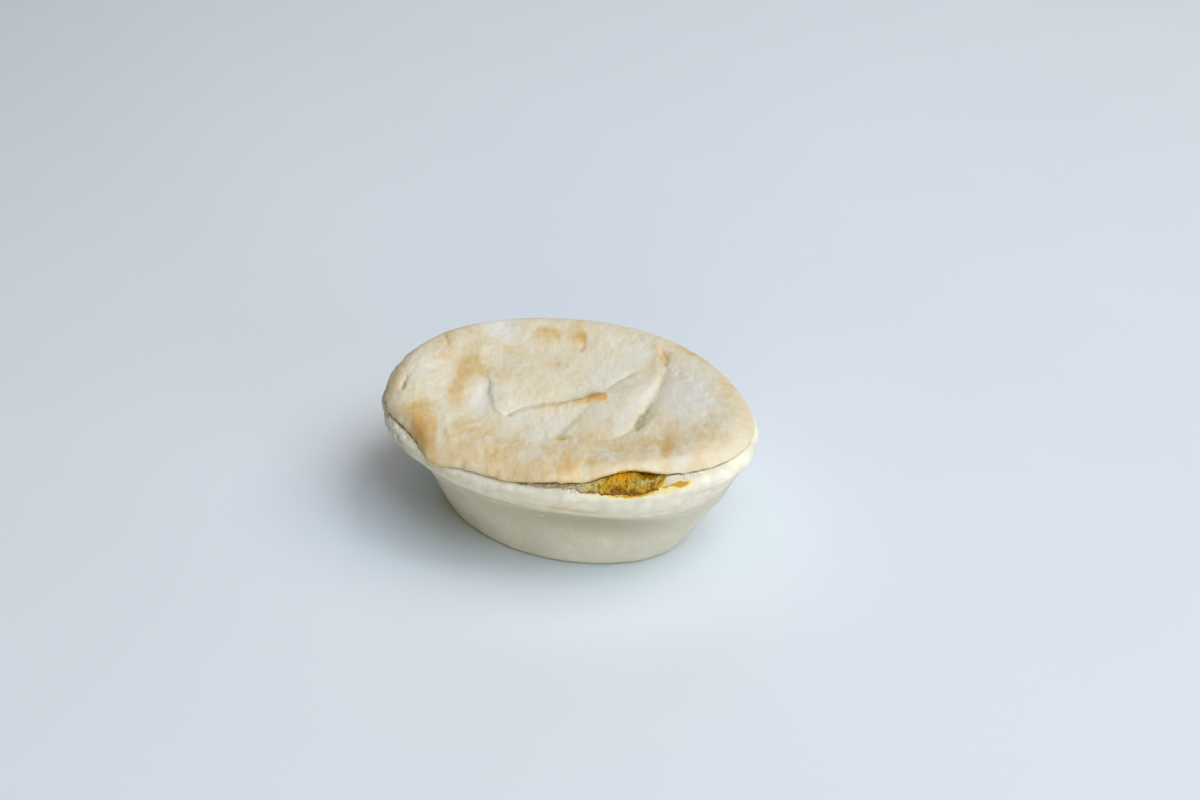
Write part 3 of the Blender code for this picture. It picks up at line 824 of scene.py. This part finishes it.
class Surface:
    """A material with one Principled shader, the nodes that feed it, and the colour laid so far."""

    def __init__(self, name, ground, **constants):
        self.material = bpy.data.materials.new(name)
        self.material.use_nodes = True
        self.tree = self.material.node_tree
        self.shader = self.tree.nodes["Principled BSDF"]
        for socket, value in constants.items():
            self.shader.inputs[SOCKETS[socket]].default_value = value
        self.place = self.add("ShaderNodeTexCoord", {}, {}, "Object")
        self.colour = srgb(*ground)

    def add(self, kind, settings, inputs, output=0):
        node = self.tree.nodes.new(kind)
        for name, value in settings.items():
            setattr(node, name, value)
        for key, value in inputs.items():
            if isinstance(value, Socket):
                self.tree.links.new(value.socket, node.inputs[key])
            else:
                node.inputs[key].default_value = value
        return Socket(self, node.outputs[output])

    def noise(self, size, detail=4.0, roughness=0.6, length=1.0):
        """Fractal noise from 0 to 1 with features of the given size in mm, and longer the way of rolling."""
        turned = {"Vector": self.place, "Rotation": (0, 0, ROLLED), "Scale": (1, length, 1)}
        scaled = self.add("ShaderNodeMapping", {"vector_type": "TEXTURE"}, turned)
        values = {"Vector": scaled, "Scale": 1 / (size * MM), "Detail": detail, "Roughness": roughness}
        return self.add("ShaderNodeTexNoise", {}, values, "Fac")

    def pits(self, size):
        values = {"Vector": self.place, "Scale": 1 / (size * MM)}
        return self.add("ShaderNodeTexVoronoi", {}, values, "Distance")

    def values(self, *names):
        """What the piece's vertices carry under these names."""
        return [self.add("ShaderNodeAttribute", {"attribute_name": name}, {}, "Fac") for name in names]

    def step(self, value, low, high):
        """0 where the value is below low, 1 above high, and smooth between."""
        inputs = {"Value": value, "From Min": low, "From Max": high}
        return self.add("ShaderNodeMapRange", {"interpolation_type": "SMOOTHSTEP"}, inputs)

    def lay(self, what, share, colour):
        """Lays a colour over what is there, as much of it as the share says."""
        settings = {"data_type": "RGBA", "clamp_factor": True, "label": what}
        self.colour = self.add("ShaderNodeMix", settings, {0: share, 6: self.colour, 7: srgb(*colour)}, 2)

    def finish(self, roughness, relief=None, depth=0.0, strength=1.0):
        """The material, with its colour and roughness, and bumps of the given depth in mm."""
        sockets = {"base_color": self.colour, "roughness": roughness}
        if relief:
            bump = {"Height": relief, "Distance": depth * MM, "Strength": strength}
            sockets["normal"] = self.add("ShaderNodeBump", {}, bump)
        for name, value in sockets.items():
            self.tree.links.new(value.socket, self.shader.inputs[SOCKETS[name]])
        return self.material


def lid_pastry():
    """Shortcrust that has browned on its folds and border and stayed floury white in its hollows; some
    crease, edge and patch colours are painted shade and light.
    """
    s = Surface("lid_pastry", (224, 214, 184), specular=0.22, subsurface=0.06, subsurface_scale=0.003)
    golden, brown, olive, pale, gravy = s.values("golden", "brown", "olive", "pale", "gravy")
    cloud = s.noise(7.0, length=ROLLED_LENGTH)
    mottle = s.noise(2.3, length=ROLLED_LENGTH)
    grain = s.noise(0.8, roughness=0.65, length=ROLLED_LENGTH)
    fine = s.noise(0.3, 2.0, 0.55)
    s.lay("paler dough", s.step(cloud, 0.32, 0.68), (229, 222, 199))
    s.lay("floury spots", s.step(mottle, 0.45, 0.7) * 0.5, (234, 230, 217))
    s.lay("loose flour", s.step(grain, 0.52, 0.72) * 0.35, (238, 232, 216))
    s.lay("pores", s.step(grain, 0.48, 0.3) * 0.3, (206, 192, 158))
    warm = s.step(s.noise(4.0, 4.0, 0.65, 1.3), 0.5, 0.68)
    s.lay("first browning", warm * 0.5 * (1.0 - pale), (222, 203, 158))
    mottled = ((mottle - 0.5) * 1.5 + (grain - 0.5) * 0.7) * s.step(golden, -0.1, 0.5)
    s.lay("golden patches", s.step(golden * (0.5 + 0.9 * cloud) + mottled, 0.0, 1.0), (219, 193, 140))
    deep = golden * 0.75 + (cloud - 0.5) * 0.8 + (mottle - 0.5) * 0.8 + (grain - 0.5) * 0.3
    s.lay("browned patches", s.step(deep, 0.5, 1.1) * 0.85, (206, 167, 98))
    s.lay("pale hollows", pale * (0.5 + 0.8 * mottle), (229, 228, 219))
    crease_stain_and_shade = olive * (0.55 + 0.9 * s.noise(1.6, 1.0, 0.4)) + (grain - 0.5) * 0.2
    s.lay("stained_and_shaded creases", s.step(crease_stain_and_shade, 0.1, 1.2) * 0.75, (160, 148, 104))
    # The darkest crease colour is painted shade at the bottom of the creases
    s.lay("bottom of the creases", s.step(crease_stain_and_shade, 0.95, 1.4) * 0.35, (112, 100, 54))
    # The brown value also holds painted shadow along the lid's edge and underside
    scorch = s.step(brown + (mottle - 0.5) * 0.4 + (grain - 0.5) * 0.3, 0.2, 0.95)
    s.lay("scorched folds", scorch * 0.85, (206, 156, 80))
    s.lay("burnt tips", s.step(brown + (grain - 0.5) * 0.4, 1.0, 1.5) * 0.7, (140, 84, 36))
    s.lay("soaked-in gravy", s.step(gravy + (cloud - 0.5) * 0.3, 0.05, 0.5) * 0.7, (226, 204, 112))
    wet = s.step(gravy + (mottle - 0.5) * 0.6 + (grain - 0.5) * 0.4, 0.3, 0.9)
    s.lay("wet gravy", wet * 0.9, (202, 150, 30))
    s.lay("dark grains", (fine - 0.45) * 0.18, (160, 140, 105))
    roughness = 0.66 + (grain - 0.5) * 0.25 - 0.08 * golden - 0.25 * wet
    return s.finish(roughness, mottle * 0.5 + grain * 0.35 + fine * 0.2 + cloud * 0.4, 0.45, 0.7)


def case_pastry():
    """Hardly browned shortcrust, dusted with flour, with painted light on the band's front and the left lip
    and painted shade under the band.
    """
    s = Surface("case_pastry", (209, 206, 188), specular=0.2, subsurface=0.06, subsurface_scale=0.003)
    toasted, gravy, flour = s.values("toasted", "gravy", "flour")
    grubby, dull, crust = s.values("grubby", "dull", "crust")
    cloud = s.noise(9.0)
    mottle = s.noise(2.4)
    grain = s.noise(0.8, roughness=0.65)
    fine = s.noise(0.3, 2.0, 0.55)
    crumbly = s.noise(1.1, 5.0, 0.75)
    s.lay("paler dough", s.step(cloud, 0.3, 0.7), (217, 214, 197))
    s.lay("floury spots", s.step(mottle, 0.5, 0.75) * 0.4, (224, 223, 212))
    s.lay("toasted streaks", s.step(toasted * (0.3 + 1.3 * mottle), 0.1, 1.0), (214, 190, 140))
    # The flour value also holds painted light on the band's front and on the left lip
    s.lay("loose flour", flour * (0.6 + 0.6 * mottle), (243, 239, 220))
    # Painted shade on the upper wall, under the band's overhang
    s.lay("dull upper wall", dull * (0.8 + 0.4 * mottle), (186, 183, 160))
    s.lay("grubby spots", s.step(grubby + (grain - 0.5) * 0.8, 0.3, 0.9) * 0.85, (146, 124, 80))
    # The crust's highest crumbs are coloured whiter and its low places darker, following the bumps: partly
    # white crust and dark flecks, partly painted light and painted shade
    s.lay("torn crust", crust * s.step(crumbly, 0.52, 0.64) * 0.75, (244, 243, 232))
    s.lay("gaps in the crust", crust * s.step(crumbly, 0.47, 0.34) * 0.35, (150, 142, 112))
    s.lay("dark grains", (fine - 0.42) * 0.18, (165, 155, 130))
    halo = s.step(gravy + (cloud - 0.5) * 0.2 + (mottle - 0.5) * 0.25, 0.05, 0.55)
    s.lay("soaked-in gravy", halo * 0.8, (234, 212, 112))
    wet = s.step(gravy + (mottle - 0.5) * 0.4 + (grain - 0.5) * 0.4, 0.45, 0.85)
    s.lay("wet gravy", wet * 0.95, (194, 148, 30))
    relief = mottle * 0.4 + grain * 0.45 + fine * 0.25 + s.step(s.pits(1.6), 0.05, 0.35) * 0.2 + cloud * 0.3
    return s.finish(0.78 + (grain - 0.5) * 0.2 - 0.4 * wet, relief + crust * crumbly * 1.4, 0.35, 0.8)


def gravy_filling():
    """Curry-yellow gravy with pale shreds of chicken and dark baked-on edges."""
    s = Surface("gravy_filling", (166, 128, 14), specular=0.25)
    shreds, burnt, crumbly, orange = s.values("shreds", "burnt", "crumbly", "orange")
    cloud = s.noise(2.4)
    grain = s.noise(0.6)
    fine = s.noise(0.25, 3.0, 0.55)
    s.lay("thicker gravy", s.step(cloud, 0.35, 0.65), (196, 162, 50))
    s.lay("orange gravy", s.step(orange + (cloud - 0.5) * 0.8, 0.3, 0.8) * 0.85, (206, 148, 8))
    torn = s.step(shreds + (cloud - 0.5) * 0.6 + (grain - 0.5) * 0.4, 0.35, 0.75)
    s.lay("shreds of chicken", torn, (190, 174, 104))
    s.lay("dry crumbs", s.step(crumbly + (grain - 0.5) * 0.5, 0.2, 0.7), (188, 178, 142))
    singed = burnt + (grain - 0.5) * 1.6 + (cloud - 0.5) * 0.6 + (fine - 0.5) * 1.2
    s.lay("baked-on gravy", s.step(singed, 0.3, 0.75) * 0.75, (156, 98, 2))
    s.lay("burnt gravy", s.step(singed, 0.7, 1.1) * 0.9, (112, 68, 0))
    return s.finish(0.42 + (grain - 0.5) * 0.3 + 0.3 * crumbly, grain * 0.7 + cloud * 0.5, 0.5, 0.9)


def crumb_material(name, light, dark, roughness):
    s = Surface(name, dark, specular=0.25)
    grain = s.noise(0.5, 3.0, 0.55)
    s.lay("light sides", s.step(grain, 0.3, 0.7), light)
    return s.finish(roughness + (grain - 0.5) * 0.2, grain, 0.15, 0.8)


# ---- pieces


def make_lid():
    segments = 600
    below, above = lid_sections()
    obj, row, turn = turned("folded_lid", len(below) + len(above), segments)
    grids = lid_points(all_round(segments), below, above)
    x, y, z = place(*(picked(grid, row, segments, turn) for grid in grids), turn)
    on_top = row >= len(below)
    plain, plain_height = np.concatenate([below, above])[row].T
    along = turn * LID_REACH
    in_from_edge = smooth((plain - 1.2) / 6)
    z = z + np.where(on_top, lid_relief(x, y) * in_from_edge, 0)
    rolled = on_top * (1 - smooth((plain - 14) / 8))
    z = z + rolled * in_from_edge * 0.13 * layered(along, plain * 0.9, 3.4, 51)
    shape_mesh(obj, x, y, z)

    # The patches are laid on places that are moved a little, so that they have uneven edges
    u, v = rolled_out(x, y)
    wide = x + 1.4 * layered(u, v, 4.0, 61), y + 1.8 * layered(u, v, 4.0, 62)
    near = x + 0.5 * layered(u, v, 2.0, 65), y + 0.6 * layered(u, v, 2.0, 66)
    up_edge = np.where(plain < CROWN_INSET, plain_height - RIM_HEIGHT - GAP, 9)
    round_edge = np.degrees(turn) + 1.0 * layered(along, plain, 2.0, 68)
    left = window(turn, TORN_ANGLE, radians(-42), radians(50))
    border = 1 - smooth((plain - 4.5) / 8)
    border = border * (0.30 - 0.22 * left + 0.15 * layered(along, plain / 2, 5, 67))
    streaks = 0.2 * layered(along, plain / 4.0, 2.2, 63, 2) * bell(y, -36, 13)
    pale = patches(*wide, PALE)
    # The lid's edge and underside are coloured brown, partly real browning and partly painted shadow under
    # the edge, most at the left
    browned_and_shaded_seam = bell(plain, LID_EDGE, 1.0) * (0.4 + 0.25 * layered(turn * RIM_REACH, z, 1.8, 64))
    browned_and_shaded_underside = 0.6 * ~on_top * (0.3 + 0.7 * left)
    set_values(
        obj,
        golden=(patches(*wide, GOLDEN) + border + streaks) * (1 - 0.8 * np.clip(pale, 0, 1)),
        brown=patches(*near, BROWN) + browned_and_shaded_seam * (0.3 + 0.8 * left) + browned_and_shaded_underside,
        olive=patches(*near, OLIVE),
        pale=pale,
        gravy=patches(*near, GRAVY_ON_LID) + patches(round_edge, up_edge, GRAVY_ON_EDGE),
    )
    finish_piece(obj, "crust_lid", lid_pastry())


def make_case():
    segments = 640
    section = case_section()
    obj, row, turn = turned("pastry_case", len(section), segments)
    plain, plain_height = section[row, 0], section[row, 1]
    inset, height = plain.copy(), plain_height.copy()
    along = turn * RIM_REACH
    outer = row <= section[:, 0].argmin()
    on_rim = plain < RIM_WIDTH + 1
    torn = np.minimum(1, 3 * window(turn, TORN_ANGLE, radians(-50), radians(46)))
    lip = bell(height, RIM_HEIGHT - 1.2, 2.2) * (inset < RIM_WIDTH + 0.5)
    inset += lip * ((0.12 + 0.2 * torn) * layered(along, height, 2.6, 71) + 0.2 * lumps(along, height, 9, 72))
    height += lip * (0.06 + 0.2 * torn) * layered(along, inset * 2, 2.0, 73)
    crust = torn * (plain_height > CREASE_HEIGHT) * on_rim
    inset += crust * 0.24 * layered(along, plain_height + plain, 1.7, 85, 2)
    outside = (height > 0.3) * (inset < CREASE_INSET + 8)
    inset += outside * (0.14 * lumps(along, height, 8, 74) + 0.05 * layered(along, height, 2.4, 75))
    up_band = np.clip((plain_height - CREASE_HEIGHT) / (EDGE_HEIGHT - CREASE_HEIGHT), 0, 1)
    full = window(turn, FULL_ANGLE, radians(-75), radians(45)) * outer
    inset -= FULL * full * np.sin(pi * up_band**1.1) ** 1.2
    x, y, z = place(inset, height, turn)
    shape_mesh(obj, x, y, z - rim_dip(turn) * smooth((plain_height - EDGE_HEIGHT) / 3) * on_rim)

    degrees = np.degrees(turn)
    above_edge = plain_height - EDGE_HEIGHT
    up_rim = np.where(on_rim, above_edge + plain * (above_edge > 0), -20)
    uneven = degrees + 0.9 * layered(along, up_rim, 2.2, 76)
    on_band = plain < CREASE_INSET + 0.2
    # The crease under the band is coloured toasted, partly its tan baking and partly painted shade under the
    # band's edge
    ledge_toast_and_shade = bell(plain_height, CREASE_HEIGHT + 1.2, 1.2) * on_band
    toasted = 0.25 * ledge_toast_and_shade + patches(degrees, np.where(on_band, plain_height, -20), TOASTED_ON_BAND)
    # The flour value is partly real flour and partly painted light: the band in front is whitened further
    # down, and the left end of the lip, which lies in shade, is whitened
    white = smooth((up_rim + 7.5 + 5.0 * full) / 5) * (0.75 + 0.35 * layered(along, plain_height, 3.0, 78))
    painted_light_on_left_lip = window(turn, radians(-134), radians(-15), radians(12)) * (up_rim > -9)
    flour = white * (1 - 0.85 * torn) + 0.22 * layered(along, plain_height, 5, 79) + 0.7 * painted_light_on_left_lip
    # Painted shadow: the upper wall under the band is coloured greyer in front, where the band's overhang
    # shades it
    band_shadow = smooth((plain_height - 9) / 8) * smooth((CREASE_HEIGHT + 3 - plain_height) / 3) * outer
    set_values(
        obj,
        toasted=toasted,
        gravy=patches(uneven, up_rim + 0.5 * layered(along, up_rim, 1.8, 81), GRAVY_ON_RIM),
        flour=flour * (1 - 0.75 * np.clip(toasted, 0, 1)),
        grubby=patches(uneven, up_rim + 0.5 * layered(along, up_rim, 1.3, 82), GRUBBY_ON_RIM),
        crust=crust,
        dull=band_shadow * window(turn, radians(-52), radians(-75), radians(48)),
    )
    finish_piece(obj, "crust_case", case_pastry())


def make_filling():
    segments = 720
    section = filling_section()
    obj, row, turn = turned("chicken_filling", len(section), segments)
    grids = filling_points(crowded(all_round(segments)), section)
    inset, height = (picked(grid, row, segments, turn) for grid in grids)
    turn = crowded(turn)
    shape_mesh(obj, *place(inset, height, turn))
    share = np.clip((row - TONGUE_START) / (TONGUE_ROWS - 1), 0, 1)
    up_slope = np.clip((share - TONGUE_FRONT) / (1 - TONGUE_FRONT), 0, 1) * 1.2
    along = turn * RIM_REACH
    spots = (
        np.degrees(turn) + 0.8 * layered(along, up_slope * 7, 1.6, 83),
        up_slope + 0.07 * layered(along, up_slope * 7, 1.2, 84),
    )
    set_values(
        obj,
        shreds=patches(*spots, GREY_SHREDS),
        burnt=patches(*spots, BURNT_GRAVY),
        orange=patches(*spots, ORANGE_GRAVY),
        crumbly=1.2 * parting(turn) + patch(*spots, (-58, 0.5), (4, 1), 0.3),
    )
    finish_piece(obj, "filling", gravy_filling())


def crumb(bm, spot, size, rng):
    """One rough crumb, squashed and turned at random."""
    angle = rng.uniform(0, 6.3)
    turn = Matrix.Rotation(angle, 4, Vector([rng.uniform(-1, 1) for _ in range(3)]).normalized())
    stretch = Matrix.Diagonal([size * rng.uniform(0.6, 1.3) for _ in range(3)] + [1])
    matrix = Matrix.Translation(spot) @ turn @ stretch
    made = bmesh.ops.create_icosphere(bm, subdivisions=1, radius=0.5, matrix=matrix)
    for v in made["verts"]:
        v.co += Vector([rng.uniform(-0.12, 0.12) * size for _ in range(3)])


def on_surface(inset, height, degrees):
    x, y, z = place(inset, height, radians(degrees))
    return Vector((x - CENTRE[0], y - CENTRE[1], z)) * MM


def rim_spots(rng, first, last, up, spread, count, size):
    """Places scattered over the rim, with a size in mm for each."""
    spots = []
    for _ in range(count):
        degrees = rng.uniform(first, last)
        at = rng.gauss(up, spread)
        if at > RIM_ROUND_REACH:
            inset = max(0.0, at - (RIM_HEIGHT - EDGE_HEIGHT))
        else:
            inset = RIM_ROUND * (max(at, 0.0) / RIM_ROUND_REACH) ** 2
        height = rim_top(inset) - rim_dip(radians(degrees)) + 0.1
        spots.append((on_surface(inset, height, degrees), size * rng.uniform(0.5, 1.4)))
    return spots


def wall_spots(rng):
    spots = []
    for _ in range(WALL_CRUMBS):
        degrees, height = rng.gauss(-76, 1.6), rng.gauss(17.0, 0.9)
        up_wall = min(height / CREASE_HEIGHT, 1.0)
        inset = BASE_INSET + (CREASE_INSET + 0.5 - BASE_INSET) * up_wall - 0.1
        spots.append((on_surface(inset, height, degrees), rng.uniform(0.3, 0.6)))
    return spots


def make_crumbs(name, material, spots, seed):
    """All crumbs of one kind in one mesh."""
    rng = random.Random(seed)
    bm = bmesh.new()
    for spot, size in spots:
        crumb(bm, spot, size * MM, rng)
    bmesh.ops.recalc_face_normals(bm, faces=bm.faces)
    finish_piece(piece_from(bm, name), None, material)


def make_all_crumbs():
    rng = random.Random(5)
    pale = crumb_material("pale_crumb", (240, 237, 226), (216, 208, 184), 0.8)
    brown = crumb_material("brown_crumb", (150, 110, 52), (88, 58, 20), 0.55)
    spots = [spot for row in PALE_CRUMBS for spot in rim_spots(rng, *row)] + wall_spots(rng)
    make_crumbs("pale_crumbs", pale, spots, 6)
    spots = [spot for row in BROWN_CRUMBS for spot in rim_spots(rng, *row)]
    make_crumbs("brown_crumbs", brown, spots, 7)


# ---- stage


def make_camera():
    turn = Matrix.Rotation(CAMERA_TURN, 4, "Z")
    tilt = Matrix.Rotation(pi / 2 - CAMERA_HEIGHT, 4, "X")
    roll = Matrix.Rotation(CAMERA_ROLL, 4, "Z")
    back = turn @ Vector((0, -cos(CAMERA_HEIGHT), sin(CAMERA_HEIGHT)))
    where = (Vector(CAMERA_AIM) + CAMERA_DISTANCE * back) * MM
    camera = new_object("camera", bpy.data.cameras.new("camera"))
    camera.data.lens = LENS
    camera.matrix_world = Matrix.Translation(where) @ turn @ tilt @ roll
    bpy.context.scene.camera = camera


def make_floor():
    bm = bmesh.new()
    bmesh.ops.create_grid(bm, x_segments=1, y_segments=1, size=4.0)
    floor = piece_from(bm, "floor")
    s = Surface("pale_floor", (222, 229, 234), specular=0.3)
    tone = s.noise(90.0, 2.0, 0.55)
    s.lay("faint clouds", tone, (226, 233, 238))
    floor.data.materials.append(s.finish(0.5 + 0.05 * tone))


def make_light():
    """Soft lamps, all at one distance from the pie."""
    world = bpy.data.worlds.new("studio")
    bpy.context.scene.world = world
    world.use_nodes = True
    background = world.node_tree.nodes["Background"].inputs
    background["Color"].default_value = (0.8, 0.9, 1, 1)
    background["Strength"].default_value = 0.02
    for name, (turn, rise, size, power, colour) in LAMPS.items():
        across = cos(radians(rise))
        turn = radians(turn) + CAMERA_TURN
        toward = Vector((cos(turn) * across, sin(turn) * across, sin(radians(rise))))
        light = bpy.data.lights.new(name, "AREA")
        light.size, light.energy, light.color = size, power, colour
        facing = toward.to_track_quat("Z", "Y").to_matrix().to_4x4()
        new_object(name, light).matrix_world = Matrix.Translation(toward * LAMP_DISTANCE) @ facing
    bpy.context.scene.view_settings.view_transform = "Standard"


make_camera()
make_light()
make_floor()
make_lid()
make_case()
make_filling()
make_all_crumbs()
